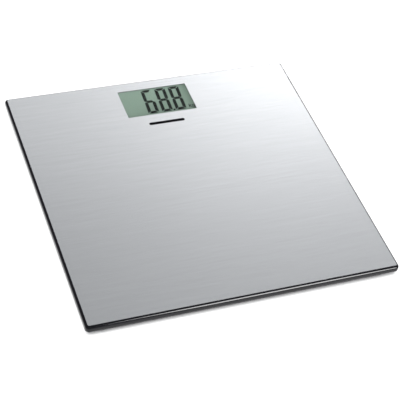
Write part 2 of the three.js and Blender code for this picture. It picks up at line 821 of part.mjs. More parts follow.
for (const [place, sideX, sideY] of footPlaces()) {
  const corner = new THREE.Group();
  corner.position.set(sideX * footX, sideY * footY, 0);
  corner.rotation.z = sideX > 0 ? Math.PI : 0; // the tongue's root faces the middle of the scale
  scale.add(corner);
  addPiece(corner, `foot_cap_${place}`, footCap(), blackAbs);
  addPiece(corner, `foot_pad_${place}`, footPad(), padRubber);
  addPiece(corner, `load_cell_${place}`, loadCell(), cellSteel);
  addPiece(corner, `gauge_cover_${place}`, gaugeCover(), gaugeSilicone);
  addPiece(corner, `cell_clamp_${place}`, cellClamp(), greyAbs);
  for (const end of [-1, 1]) {
    const length = zCellTop - zFloorTop - stackClearance;
    const name = `clamp_screw_${place}_${end > 0 ? "b" : "a"}`;
    addPiece(corner, name, screw(zCellTop, length), zincSteel).position.set(0, end * earScrewY, 0);
  }
  addPiece(scale, `sensor_lead_${place}`, sensorLead(sideX, sideY), greyPvc);
}

export default scale;
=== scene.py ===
import math

import bmesh
import bpy
from bpy.props import FloatProperty, FloatVectorProperty, PointerProperty
from mathutils import Matrix, Vector


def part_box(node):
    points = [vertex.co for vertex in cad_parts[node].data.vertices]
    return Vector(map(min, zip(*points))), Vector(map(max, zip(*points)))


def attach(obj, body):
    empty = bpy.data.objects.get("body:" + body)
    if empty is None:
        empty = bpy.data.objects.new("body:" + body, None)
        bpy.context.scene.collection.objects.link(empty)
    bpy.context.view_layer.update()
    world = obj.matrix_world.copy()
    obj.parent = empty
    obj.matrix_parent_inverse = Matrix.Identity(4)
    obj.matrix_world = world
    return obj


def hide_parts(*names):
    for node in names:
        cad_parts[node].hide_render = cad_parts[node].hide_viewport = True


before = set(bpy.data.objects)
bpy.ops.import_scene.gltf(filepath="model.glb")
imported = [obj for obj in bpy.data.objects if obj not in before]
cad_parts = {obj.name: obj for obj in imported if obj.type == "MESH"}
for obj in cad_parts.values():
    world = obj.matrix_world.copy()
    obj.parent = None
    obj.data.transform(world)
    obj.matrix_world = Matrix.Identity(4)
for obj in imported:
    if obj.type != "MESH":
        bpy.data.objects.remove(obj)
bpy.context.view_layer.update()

bl_info = {
    "name": "Bathroom Scale",
    "version": (1, 0, 0),
    "blender": (4, 5, 0),
    "location": "View3D > Sidebar > Scale",
    "description": "Builds the visible pieces of a digital bathroom scale around its CAD frame",
    "category": "Add Mesh",
}

MM = 0.001
PLATFORM = "platform"
FEET = ("front_left", "front_right", "back_left", "back_right")
SMOOTH_LIMIT = math.radians(32)
CORNER_STEPS = 12
WINDOW_STEPS = 6
LAMP_DISTANCE = 2.6

# Segments that are lit for each figure. They go clockwise from the top (a to f), and g is the
# middle one.
LIT_SEGMENTS = {"6": "acdefg", "8": "abcdefg"}

# Strokes of the unit sign, in millimetres from its lower left corner.
UNIT_STROKES = (
    ((0.3, 1.6), (0.3, 6.0)), ((0.3, 3.1), (2.3, 4.7)), ((0.9, 3.4), (2.5, 1.6)),
    ((3.8, 1.9), (3.8, 4.3)), ((3.8, 4.4), (5.9, 4.4)), ((5.9, 0.2), (5.9, 4.6)),
    ((3.8, 1.8), (5.9, 1.8)), ((3.8, 0.1), (5.9, 0.1)),
)

# Half section of a foot pad's ridge, in millimetres outwards and upwards, and each ridge's inner
# radius.
TREAD_GROOVE = 0.45
TREAD_RIDGE = (
    (0.0, 0.06), (0.15, 0.0), (1.85, 0.0), (2.0, 0.06), (2.2, TREAD_GROOVE), (3.0, TREAD_GROOVE)
)
TREAD_RADII = (2.2, 5.4, 8.6)


def colour_property(name, description, default):
    """A colour that the user can change."""
    return FloatVectorProperty(
        name=name,
        description=description,
        default=default,
        subtype="COLOR",
        size=3,
        min=0.0,
        max=1.0,
    )


def length_property(name, description, default):
    """A length that the user can change, in metres."""
    return FloatProperty(
        name=name, description=description, default=default, unit="LENGTH", precision=5, min=0.0
    )


class ScaleSizes(bpy.types.PropertyGroup):
    """Sizes of the visible details."""

    sheet_corner: length_property("Sheet corner", "Corner radius of the steel sheet", 1.5 * MM)
    sheet_edge: length_property("Sheet edge", "Rounding of the steel sheet's upper edge", 0.1 * MM)
    window_corner: length_property("Window corner", "Corner radius of the reading window", 0.8 * MM)
    window_width: length_property("Window width", "Width of the reading window", 72.5 * MM)
    window_depth: length_property("Window depth", "Depth of the reading window", 39.0 * MM)
    glass_corner: length_property("Glass corner", "Corner radius of the glass plate", 3.75 * MM)
    glass_top_round: length_property(
        "Upper rounding", "Rounding of the glass plate's upper edge", 2.25 * MM
    )
    glass_bottom_round: length_property(
        "Lower rounding", "Rounding of the glass plate's lower edge", 0.75 * MM
    )
    clear_border: length_property(
        "Clear border", "Unpainted glass around the window, underneath", 5.0 * MM
    )
    figure_width: length_property("Figure width", "Width of one figure of the reading", 11.4 * MM)
    figure_height: length_property(
        "Figure height", "Height of one figure of the reading", 35.2 * MM
    )
    figure_pitch: length_property("Figure pitch", "Distance from one figure to the next", 14.7 * MM)
    figure_stroke: length_property("Stroke", "Width of a figure's segments", 3.4 * MM)
    figure_lean: FloatProperty(
        name="Lean", description="Slant of the figures", default=math.radians(2.9), subtype="ANGLE"
    )
    mark_width: length_property(
        "Mark width", "Width of the printed bar in front of the window", 37.5 * MM
    )
    mark_depth: length_property(
        "Mark depth", "Depth of the printed bar in front of the window", 3.6 * MM
    )
    mark_gap: length_property(
        "Mark gap", "From the window's front edge to the middle of the printed bar", 13.0 * MM
    )


class ScaleFinishes(bpy.types.PropertyGroup):
    """Colours of the visible finishes."""

    steel: colour_property("Steel", "Brushed stainless steel", (0.585, 0.595, 0.61))
    glass_back: colour_property("Glass backing", "Paint behind the glass", (0.0025, 0.0025, 0.004))
    display: colour_property("Display", "Background of the display", (0.172, 0.220, 0.190))
    figures: colour_property("Figures", "Lit segments of the display", (0.0008, 0.0012, 0.001))
    mark: colour_property("Mark", "Printed bar on the sheet", (0.002, 0.002, 0.003))
    tray: colour_property("Tray", "Moulded plastic of the tray", (0.016, 0.016, 0.019))
    rubber: colour_property("Rubber", "Rubber of the foot pads", (0.035, 0.035, 0.037))


class StageSettings(bpy.types.PropertyGroup):
    """Camera, lights and floor."""

    camera_azimuth: FloatProperty(
        name="Azimuth",
        default=math.radians(-26.08),
        subtype="ANGLE",
        description="Direction of the camera around the scale",
    )
    camera_elevation: FloatProperty(
        name="Elevation",
        default=math.radians(45.054),
        subtype="ANGLE",
        description="Height of the camera above the horizon",
    )
    camera_roll: FloatProperty(
        name="Roll",
        default=math.radians(9.463),
        subtype="ANGLE",
        description="Tilt of the camera about its own axis",
    )
    camera_distance: length_property(
        "Distance", "From the camera to the point it looks at", 1.19576
    )
    camera_target: FloatVectorProperty(
        name="Target",
        default=(-0.00403, -0.02749, 0.018),
        subtype="XYZ",
        unit="LENGTH",
        description="Point that the camera looks at",
    )
    focal_length: FloatProperty(
        name="Focal length", default=114.006, description="Lens, in millimetres"
    )
    room_light: FloatProperty(
        name="Room", default=0.434, description="Brightness of the room around the scale"
    )
    key_light: FloatProperty(
        name="Key", default=4.2, description="Strength of the soft light from the front left"
    )
    card_light: FloatProperty(
        name="Card", default=154.0, unit="POWER", description="Bright card low behind the scale"
    )
    sky_light: FloatProperty(
        name="Sky", default=4.5, unit="POWER", description="Wide faint softbox behind the scale"
    )
    front_light: FloatProperty(
        name="Front", default=160.0, unit="POWER", description="Softbox low in front, on the right"
    )
    floor_size: length_property("Floor", "Side of the floor", 12.0)


# Meshes


def rounded_outline(half_x, half_y, radius, steps, centre=(0.0, 0.0)):
    """Corners of a rounded rectangle, anticlockwise, with so many steps in each quarter turn."""
    points = []
    for quarter, (side_x, side_y) in enumerate(((1, 1), (-1, 1), (-1, -1), (1, -1))):
        middle = Vector(
            (centre[0] + side_x * (half_x - radius), centre[1] + side_y * (half_y - radius))
        )
        for step in range(steps + 1):
            angle = math.pi / 2 * (quarter + step / steps)
            points.append(middle + radius * Vector((math.cos(angle), math.sin(angle))))
    return points


def level(bm, outline, z):
    """A closed ring of vertices at one height."""
    return [bm.verts.new((x, y, z)) for x, y in outline]


def wall(bm, rings):
    """Smooth faces between each ring and the next."""
    for low, high in zip(rings, rings[1:]):
        count = len(low)
        for i in range(count):
            j = (i + 1) % count
            bm.faces.new((low[i], low[j], high[j], high[i])).smooth = True


def ring_edges(bm, ring):
    """The edges of a closed ring, made where they are missing."""
    pairs = zip(ring, ring[1:] + ring[:1])
    return [bm.edges.get(pair) or bm.edges.new(pair) for pair in pairs]


def flat_cap(bm, ring, slot=0):
    """One flat face that closes a ring."""
    face = bm.faces.new(ring)
    face.material_index = slot
    return face


def flat_border(bm, outer, inner, up):
    """Flat faces between an outer ring and the ring of an opening in it."""
    edges = ring_edges(bm, outer) + ring_edges(bm, inner)
    made = bmesh.ops.triangle_fill(
        bm, use_beauty=True, edges=edges, normal=(0.0, 0.0, 1.0 if up else -1.0)
    )
    return [item for item in made["geom"] if isinstance(item, bmesh.types.BMFace)]


def quarter_round(radius, z_edge, towards, steps):
    """(inset, height) pairs of a rounded edge, from the wall's flat to the face's flat."""
    pairs = []
    for step in range(steps + 1):
        angle = math.pi / 2 * step / steps
        pairs.append((radius * (1 - math.cos(angle)), z_edge + towards * radius * math.sin(angle)))
    return pairs


def finish_mesh(bm, name, materials, body, nodes=()):
    """Turns a mesh into a piece that rides on a body and stands for its CAD nodes."""
    bmesh.ops.recalc_face_normals(bm, faces=bm.faces)
    for edge in bm.edges:
        edge.smooth = not (len(edge.link_faces) == 2 and edge.calc_face_angle(0.0) > SMOOTH_LIMIT)
    mesh = bpy.data.meshes.new(name)
    bm.to_mesh(mesh)
    bm.free()
    for material in materials:
        mesh.materials.append(material)
    piece = bpy.data.objects.new(name, mesh)
    bpy.context.scene.collection.objects.link(piece)
    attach(piece, body)
    if nodes:
        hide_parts(*nodes)
    return piece


def turned(profile, centre, steps):
    """A mesh turned about an upright axis.

    The profile is (radius, height) pairs that start and end on the axis.
    """
    bm = bmesh.new()
    rings = []
    for radius, z in profile:
        if radius == 0:
            rings.append([bm.verts.new((centre[0], centre[1], z))])
            continue
        angles = [2 * math.pi * i / steps for i in range(steps)]
        circle = [
            (centre[0] + radius * math.cos(a), centre[1] + radius * math.sin(a)) for a in angles
        ]
        rings.append(level(bm, circle, z))
    for low, high in zip(rings, rings[1:]):
        for i in range(steps):
            j = (i + 1) % steps
            corners = [
                low[i % len(low)], low[j % len(low)], high[j % len(high)], high[i % len(high)]
            ]
            bm.faces.new(list(dict.fromkeys(corners))).smooth = True
    return bm


def prism(bm, outline, z_low, z_high):
    """An upright prism with flat ends."""
    low = level(bm, outline, z_low)
    high = level(bm, outline, z_high)
    wall(bm, (low, high))
    flat_cap(bm, low[::-1])
    flat_cap(bm, high)


def middle_of(node):
    """Middle of a CAD node's box."""
    low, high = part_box(node)
    return (low + high) / 2


def window_outline(sizes, border):
    """Outline of the reading window, made larger all round by a border."""
    return rounded_outline(
        sizes.window_width / 2 + border,
        sizes.window_depth / 2 + border,
        sizes.window_corner + border,
        WINDOW_STEPS,
        (0.0, middle_of("lcd_panel").y),
    )


# Finishes


class Finish:
    """A node material that is built up from a principled shader."""

    def __init__(self, name, **inputs):
        self.material = bpy.data.materials.new(name)
        self.material.use_nodes = True
        self.tree = self.material.node_tree
        self.tree.nodes.clear()
        self.output = self.add("ShaderNodeOutputMaterial")
        self.shader = self.add("ShaderNodeBsdfPrincipled")
        self.link(self.shader.outputs["BSDF"], self.output.inputs["Surface"])
        for key, value in inputs.items():
            socket = key.replace("_", " ").title().replace("Ior", "IOR")
            self.shader.inputs[socket].default_value = value
        self.place = self.add("ShaderNodeTexCoord").outputs["Object"]

    def add(self, kind):
        """A new node."""
        return self.tree.nodes.new(kind)

    def link(self, source, target):
        """Joins an output to an input."""
        self.tree.links.new(source, target)

    def noise(self, scale, detail=2.0, stretch=(1.0, 1.0, 1.0), rough=0.5):
        """Noise with so many cells to the metre along each axis."""
        mapping = self.add("ShaderNodeMapping")
        mapping.inputs["Scale"].default_value = [scale * s for s in stretch]
        self.link(self.place, mapping.inputs["Vector"])
        noise = self.add("ShaderNodeTexNoise")
        noise.inputs["Scale"].default_value = 1.0
        noise.inputs["Detail"].default_value = detail
        noise.inputs["Roughness"].default_value = rough
        self.link(mapping.outputs["Vector"], noise.inputs["Vector"])
        return noise.outputs["Fac"]

    def cells(self, scale):
        """Distance to the middle of the nearest of so many cells to the metre."""
        mapping = self.add("ShaderNodeMapping")
        mapping.inputs["Scale"].default_value = [scale] * 3
        self.link(self.place, mapping.inputs["Vector"])
        cells = self.add("ShaderNodeTexVoronoi")
        cells.inputs["Scale"].default_value = 1.0
        self.link(mapping.outputs["Vector"], cells.inputs["Vector"])
        return cells.outputs["Distance"]

    def spread(self, factor, low, high, start=0.3, end=0.7):
        """A number that goes from low to high with the factor."""
        spread = self.add("ShaderNodeMapRange")
        for key, value in (
            ("From Min", start), ("From Max", end), ("To Min", low), ("To Max", high)
        ):
            spread.inputs[key].default_value = value
        self.link(factor, spread.inputs["Value"])
        return spread.outputs["Result"]

    def colours(self, factor, dark, light, start=0.3, end=0.7):
        """Colour that goes from dark to light with the factor."""
        ramp = self.add("ShaderNodeValToRGB")
        ramp.color_ramp.elements[0].position = start
        ramp.color_ramp.elements[0].color = (*dark, 1.0)
        ramp.color_ramp.elements[1].position = end
        ramp.color_ramp.elements[1].color = (*light, 1.0)
        self.link(factor, ramp.inputs["Fac"])
        self.link(ramp.outputs["Color"], self.shader.inputs["Base Color"])

    def roughness(self, factor, low, high):
        """Roughness that goes from low to high with the factor."""
        self.link(self.spread(factor, low, high), self.shader.inputs["Roughness"])

    def bump(self, height, depth, strength):
        """Relief of so many metres."""
        bump = self.add("ShaderNodeBump")
        bump.inputs["Strength"].default_value = strength
        bump.inputs["Distance"].default_value = depth
        self.link(height, bump.inputs["Height"])
        self.link(bump.outputs["Normal"], self.shader.inputs["Normal"])


def tinted(colour, amount):
    """A colour made lighter or darker by a share."""
    return tuple(min(1.0, max(0.0, c * (1 + amount))) for c in colour)


def moulded_plastic(name, colour, roughness=0.5, grain=900.0):
    """Moulded plastic with a spark-eroded grain."""
    finish = Finish(name, ior=1.49)
    finish.colours(finish.noise(60.0, 3.0), tinted(colour, -0.12), tinted(colour, 0.12))
    finish.roughness(finish.noise(140.0, 2.0), roughness - 0.06, roughness + 0.06)
    finish.bump(finish.noise(grain, 3.0), 0.04 * MM, 0.5)
    return finish.material


def plated_metal(name, colour, roughness=0.3, stretch=(1.0, 1.0, 1.0)):
    """Plain metal with drawing marks."""
    finish = Finish(name, metallic=1.0)
    finish.colours(finish.noise(90.0, 3.0), tinted(colour, -0.1), tinted(colour, 0.06))
    finish.roughness(finish.noise(400.0, 2.0, stretch), roughness - 0.08, roughness + 0.08)
    finish.bump(finish.noise(1500.0, 2.0, stretch), 0.01 * MM, 0.4)
    return finish.material


def soft_skin(name, colour, roughness=0.6):
    """Insulation, sealant or rubber with a faint unevenness."""
    finish = Finish(name, ior=1.45)
    finish.colours(finish.noise(200.0, 2.0), tinted(colour, -0.1), tinted(colour, 0.1))
    finish.roughness(finish.noise(350.0, 2.0), roughness - 0.07, roughness + 0.07)
    finish.bump(finish.noise(700.0, 3.0), 0.03 * MM, 0.4)
    return finish.material


def brushed_steel(colour):
    """Stainless steel brushed from side to side."""
    finish = Finish("brushed_steel", metallic=1.0)
    streaks = finish.noise(1.0, 3.0, (24.0, 1700.0, 24.0), 0.7)
    finish.colours(streaks, tinted(colour, -0.04), tinted(colour, 0.04))
    finish.roughness(finish.noise(1.0, 2.0, (10.0, 1500.0, 10.0)), 0.258, 0.268)
    return finish.material


def shaded_cut_edge():
    """Sheared edge of the steel sheet: dull, and painted dark as shade so that its walls and
    roundings show no bright rim.
    """
    finish = Finish("shaded_cut_edge", metallic=1.0)
    finish.colours(
        finish.noise(1.0, 2.0, (900.0, 900.0, 60.0)), (0.075, 0.077, 0.080), (0.105, 0.107, 0.110)
    )
    finish.roughness(finish.noise(600.0), 0.45, 0.55)
    return finish.material


def painted_glass(colour):
    """Glass that is painted black behind: deep gloss with faint wipe marks."""
    finish = Finish("painted_glass", ior=1.52, specular_ior_level=0.2)
    finish.colours(finish.noise(25.0, 2.0), tinted(colour, -0.2), tinted(colour, 0.3))
    finish.roughness(finish.noise(70.0, 4.0), 0.05, 0.08)
    finish.bump(finish.noise(30.0, 1.0), 0.01 * MM, 0.15)
    return finish.material


def clear_glass():
    """Clear glass that lets the lamps through to the display."""
    finish = Finish(
        "clear_glass", ior=1.5, transmission_weight=1.0, roughness=0.0, specular_ior_level=0.1
    )
    finish.shader.inputs["Base Color"].default_value = (0.96, 0.99, 0.97, 1.0)
    finish.bump(finish.noise(25.0, 1.0), 0.002 * MM, 0.1)
    lamps = finish.add("ShaderNodeLightPath")
    through = finish.add("ShaderNodeBsdfTransparent")
    through.inputs["Color"].default_value = (0.92, 0.96, 0.93, 1.0)
    mix = finish.add("ShaderNodeMixShader")
    finish.link(lamps.outputs["Is Shadow Ray"], mix.inputs["Fac"])
    finish.link(finish.shader.outputs["BSDF"], mix.inputs[1])
    finish.link(through.outputs["BSDF"], mix.inputs[2])
    finish.link(mix.outputs["Shader"], finish.output.inputs["Surface"])
    return finish.material


def display_film(colour):
    """The display's reflective polariser, with its fine pearly grain."""
    finish = Finish("display_film", specular_ior_level=0.1)
    finish.colours(finish.noise(2600.0, 3.0), tinted(colour, -0.06), tinted(colour, 0.06))
    finish.roughness(finish.noise(300.0, 2.0), 0.32, 0.42)
    finish.bump(finish.noise(2600.0, 2.0), 0.003 * MM, 0.3)
    return finish.material


def printed_ink(name, colour, roughness):
    """Dense ink or liquid crystal, a little uneven."""
    finish = Finish(name, specular_ior_level=0.05)
    finish.colours(finish.noise(800.0, 2.0), tinted(colour, -0.3), tinted(colour, 0.3))
    finish.roughness(finish.noise(500.0, 2.0), roughness - 0.05, roughness + 0.05)
    return finish.material


def foam(name, colour):
    """Open foam of the bonding tape, darker in its pore hollows as painted shade."""
    finish = Finish(name, ior=1.4)
    pore_depth_and_shade = finish.cells(2400.0)
    # The colour darkens where the pores are deepest, on the same mask as the bump: painted shade.
    finish.colours(pore_depth_and_shade, tinted(colour, -0.35), colour, 0.0, 0.6)
    finish.roughness(finish.noise(500.0), 0.82, 0.95)
    finish.bump(pore_depth_and_shade, 0.08 * MM, 0.7)
    return finish.material


def circuit_board():
    """Green solder mask with buried tracks."""
    finish = Finish("solder_mask", ior=1.5)
    tracks = finish.noise(1.0, 1.0, (420.0, 90.0, 90.0))
    finish.colours(tracks, (0.006, 0.060, 0.022), (0.020, 0.125, 0.045), 0.44, 0.52)
    finish.roughness(finish.noise(220.0), 0.32, 0.45)
    finish.bump(tracks, 0.03 * MM, 0.5)
    return finish.material


def zebra_rubber():
    """Elastomer with thin conducting layers."""
    finish = Finish("zebra_rubber", ior=1.42)
    layers = finish.noise(1.0, 0.0, (5200.0, 1.0, 1.0))
    finish.colours(layers, (0.015, 0.015, 0.015), (0.48, 0.25, 0.28), 0.45, 0.55)
    finish.roughness(finish.noise(300.0), 0.7, 0.85)
    return finish.material


# Operators


class SCALE_OT_steel_sheet(bpy.types.Operator):
    """Build the brushed steel sheet with its window and the printed bar"""

    bl_idname = "scale.steel_sheet"
    bl_label = "Steel sheet"

    def execute(self, context):
        sizes = context.scene.scale_sizes
        finishes = context.scene.scale_finishes
        low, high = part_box("top_sheet")
        ink = 0.02 * MM
        z_low, z_high = low.z, high.z - ink
        edge = quarter_round(sizes.sheet_edge, z_high - sizes.sheet_edge, 1, 3)
        bm = bmesh.new()
        outer, inner = [], []
        for inset, z in [(0.0, z_low), *edge]:
            outline = rounded_outline(
                high.x - inset, high.y - inset, sizes.sheet_corner - inset, CORNER_STEPS
            )
            outer.append(level(bm, outline, z))
            inner.append(level(bm, window_outline(sizes, inset), z))
        wall(bm, outer)
        wall(bm, inner)
        # The sheet's walls and edge roundings take the dark edge finish, whose colour is painted
        # shade.
        for face in bm.faces:
            face.material_index = 1
        flat_border(bm, outer[-1], inner[-1], True)
        flat_border(bm, outer[0], inner[0], False)
        materials = [brushed_steel(finishes.steel), shaded_cut_edge()]
        finish_mesh(bm, "steel_sheet", materials, PLATFORM, ["top_sheet"])
        bm = bmesh.new()
        half_depth = sizes.mark_depth / 2
        mark_y = middle_of("lcd_panel").y - sizes.window_depth / 2 - sizes.mark_gap
        outline = rounded_outline(
            sizes.mark_width / 2, half_depth, half_depth * 0.98, 8, (0.0, mark_y)
        )
        prism(bm, outline, z_high - ink, high.z)
        finish_mesh(bm, "printed_bar", [printed_ink("bar_ink", finishes.mark, 0.5)], PLATFORM)
        return {"FINISHED"}


class SCALE_OT_glass_plate(bpy.types.Operator):
    """Build the glass plate, painted black behind, with its clear window"""

    bl_idname = "scale.glass_plate"
    bl_label = "Glass plate"

    def execute(self, context):
        sizes = context.scene.scale_sizes
        low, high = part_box("platform_glass")
        top_border = 0.3 * MM
        bottom = quarter_round(sizes.glass_bottom_round, low.z + sizes.glass_bottom_round, -1, 5)[
            ::-1
        ]
        top = quarter_round(sizes.glass_top_round, high.z - sizes.glass_top_round, 1, 12)
        bm = bmesh.new()
        rings = []
        for inset, z in bottom + top:
            outline = rounded_outline(
                high.x - inset, high.y - inset, sizes.glass_corner - inset, CORNER_STEPS
            )
            rings.append(level(bm, outline, z))
        wall(bm, rings)
        for ring, z, border, up in (
            (rings[-1], high.z, top_border, True),
            (rings[0], low.z, sizes.clear_border, False),
        ):
            inner = level(bm, window_outline(sizes, border), z)
            flat_border(bm, ring, inner, up)
            flat_cap(bm, inner if up else inner[::-1], 1)
        materials = [painted_glass(context.scene.scale_finishes.glass_back), clear_glass()]
        finish_mesh(bm, "glass_plate", materials, PLATFORM, ["platform_glass"])
        return {"FINISHED"}


def segment_outlines(width, height, stroke):
    """Outline of each segment of a figure, from the figure's lower left corner."""
    gap = 0.05 * stroke
    bevel = 0.25 * stroke
    half = stroke / 2
    middle = height / 2
    across = [
        (bevel + gap, 0.0),
        (width - bevel - gap, 0.0),
        (width - stroke - gap, stroke),
        (stroke + gap, stroke),
    ]
    upright = [
        (0.0, bevel + gap),
        (stroke, stroke + gap),
        (stroke, middle - half - gap),
        (half, middle - gap),
        (0.0, middle - half),
    ]
    bar = [
        (half + gap, middle),
        (stroke + gap, middle - half),
        (width - stroke - gap, middle - half),
        (width - half - gap, middle),
        (width - stroke - gap, middle + half),
        (stroke + gap, middle + half),
    ]

    def mirrored(points, flip_x, flip_y):
        """An outline turned over, which keeps its direction round."""
        moved = [(width - x if flip_x else x, height - y if flip_y else y) for x, y in points]
        return moved[::-1] if flip_x != flip_y else moved

    return {
        "a": mirrored(across, False, True),
        "b": mirrored(upright, True, True),
        "c": mirrored(upright, True, False),
        "d": across,
        "e": upright,
        "f": mirrored(upright, False, True),
        "g": bar,
    }


class SCALE_OT_display(bpy.types.Operator):
    """Build the display panel and its reading"""

    bl_idname = "scale.display"
    bl_label = "Display"

    def execute(self, context):
        sizes = context.scene.scale_sizes
        finishes = context.scene.scale_finishes
        low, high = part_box("lcd_panel")
        middle = (low + high) / 2
        half = (high - low) / 2
        crystal = 0.04 * MM
        panel_corner = 0.5 * MM
        bottom_bevel = 0.1 * MM
        top_bevel, top_bevel_depth = 0.15 * MM, 0.2 * MM
        bm = bmesh.new()
        rings = []
        for inset, z in (
            (bottom_bevel, low.z),
            (0.0, low.z + bottom_bevel),
            (0.0, high.z - top_bevel_depth),
            (top_bevel, high.z),
        ):
            outline = rounded_outline(
                half.x - inset, half.y - inset, panel_corner - inset, 4, middle.xy
            )
            rings.append(level(bm, outline, z))
        wall(bm, rings)
        flat_cap(bm, rings[0][::-1])
        flat_cap(bm, rings[-1])
        film = display_film(finishes.display)
        finish_mesh(bm, "display_panel", [film], PLATFORM, ["lcd_panel"])
        reading_left, reading_lift = 12.9 * MM, 3.7 * MM
        dot_radius, dot_shift = 1.15 * MM, 1.6 * MM
        unit_shift = 0.1 * MM
        pen = 0.40 * MM
        bm = bmesh.new()
        figures = segment_outlines(sizes.figure_width, sizes.figure_height, sizes.figure_stroke)
        slope = math.tan(sizes.figure_lean)
        base_y = middle.y - sizes.figure_height / 2 + reading_lift
        z = high.z

        def leaned(points, left):
            """Points of a figure, slanted and moved to its place on the panel."""
            return [(left + x + slope * y, base_y + y) for x, y in points]

        first_x = middle.x - reading_left
        for place, figure in enumerate("688"):
            left = first_x + place * sizes.figure_pitch
            for name in LIT_SEGMENTS[figure]:
                prism(bm, leaned(figures[name], left), z, z + crystal)
        dot_x = first_x + 2 * sizes.figure_pitch - dot_shift
        turns = (i * math.pi / 8 for i in range(16))
        dot = [(dot_radius * math.cos(a), dot_radius * (1 + math.sin(a))) for a in turns]
        prism(bm, leaned(dot, dot_x), z, z + crystal)
        unit_x = first_x + 3 * sizes.figure_pitch + unit_shift
        # Each stroke is a hair higher than the last, so crossing faces never share a plane.
        for index, (start, end) in enumerate(UNIT_STROKES):
            start, end = Vector(start) * MM, Vector(end) * MM
            along = (end - start).normalized() * pen
            side = Vector((-along.y, along.x))
            corners = [
                start - along - side, end + along - side, end + along + side, start - along + side
            ]
            prism(bm, leaned(corners, unit_x), z, z + crystal + index * 0.001 * MM)
        finish_mesh(
            bm, "display_figures", [printed_ink("liquid_crystal", finishes.figures, 0.3)], PLATFORM
        )
        return {"FINISHED"}


def smooth_copy(node, name, material, body):
    """A copy of a CAD node with soft shading over its shallow facets."""
    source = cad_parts[node]
    bm = bmesh.new()
    bm.from_mesh(source.data)
    bmesh.ops.remove_doubles(bm, verts=bm.verts, dist=0.002 * MM)
    for face in bm.faces:
        face.smooth = True
        face.material_index = 0
    return finish_mesh(bm, name, [material], body, [node])


class SCALE_OT_tray(bpy.types.Operator):
    """Finish the moulded tray"""

    bl_idname = "scale.tray"
    bl_label = "Tray"

    def execute(self, context):
        plastic = moulded_plastic("tray_plastic", context.scene.scale_finishes.tray, 0.5, 1100.0)
        smooth_copy("base_tray", "moulded_tray", plastic, PLATFORM)
        return {"FINISHED"}


def foot_cup_profile(low_z, high_z, flange_radius, pad_radius, seat):
    """Half section of a foot's cap, from the middle of the pad's seat to the top of its stem."""
    bevel, soft = 0.2 * MM, 0.5 * MM
    cap_radius = flange_radius - 3.25 * MM
    inner = pad_radius + 0.25 * MM
    flange = low_z + 3.75 * MM
    flange_top = flange + 1.25 * MM
    stem_radius, stem_fillet = 4.0 * MM, 0.4 * MM
    rim = quarter_round(soft, low_z + soft, -1, 5)[::-1]
    return [
        (0.0, seat),
        (inner - bevel, seat),
        (inner, seat - bevel),
        (inner, low_z + bevel),
        (inner + bevel, low_z),
        *((cap_radius - inset, z) for inset, z in rim),
        (cap_radius, flange - bevel),
        (cap_radius + bevel, flange),
        (flange_radius - bevel, flange),
        (flange_radius, flange + bevel),
        (flange_radius, flange_top - bevel),
        (flange_radius - bevel, flange_top),
        (stem_radius + stem_fillet, flange_top),
        (stem_radius, flange_top + stem_fillet),
        (stem_radius, high_z - bevel),
        (stem_radius - bevel, high_z),
        (0.0, high_z),
    ]


def tread_profile(pad_radius, seat):
    """Half section of a foot's pad, with its ring-shaped ridges underneath."""
    soft, bevel = 0.5 * MM, 0.15 * MM
    profile = [(0.0, TREAD_GROOVE * MM), (1.6 * MM, TREAD_GROOVE * MM)]
    for radius in TREAD_RADII:
        profile += [((radius + out) * MM, up * MM) for out, up in TREAD_RIDGE]
    profile += [(11.8 * MM, 0.06 * MM), (11.95 * MM, 0.0)]
    profile += [(pad_radius - inset, z) for inset, z in quarter_round(soft, soft, -1, 5)[::-1]]
    profile += [(pad_radius, seat - bevel), (pad_radius - bevel, seat), (0.0, seat)]
    return profile


class SCALE_OT_feet(bpy.types.Operator):
    """Build the four feet, each with its cap and its grooved rubber pad"""

    bl_idname = "scale.feet"
    bl_label = "Feet"

    def execute(self, context):
        finishes = context.scene.scale_finishes
        cap_plastic = moulded_plastic("cap_plastic", finishes.tray, 0.42, 1300.0)
        rubber = soft_skin("pad_rubber", finishes.rubber, 0.8)
        for place in FEET:
            body, cap, pad = f"foot_{place}", f"foot_cap_{place}", f"foot_pad_{place}"
            low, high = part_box(cap)
            centre = ((low + high) / 2).xy
            pad_low, pad_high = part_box(pad)
            pad_radius = (pad_high.x - pad_low.x) / 2
            seat = pad_high.z
            cup = foot_cup_profile(low.z, high.z, (high.x - low.x) / 2, pad_radius, seat)
            finish_mesh(
                turned(cup, centre, 96),
                f"foot_cup_{place}",
                [cap_plastic],
                body,
                [cap],
            )
            tread = tread_profile(pad_radius, seat)
            finish_mesh(
                turned(tread, centre, 96),
                f"foot_tread_{place}",
                [rubber],
                body,
                [pad],
            )
        return {"FINISHED"}


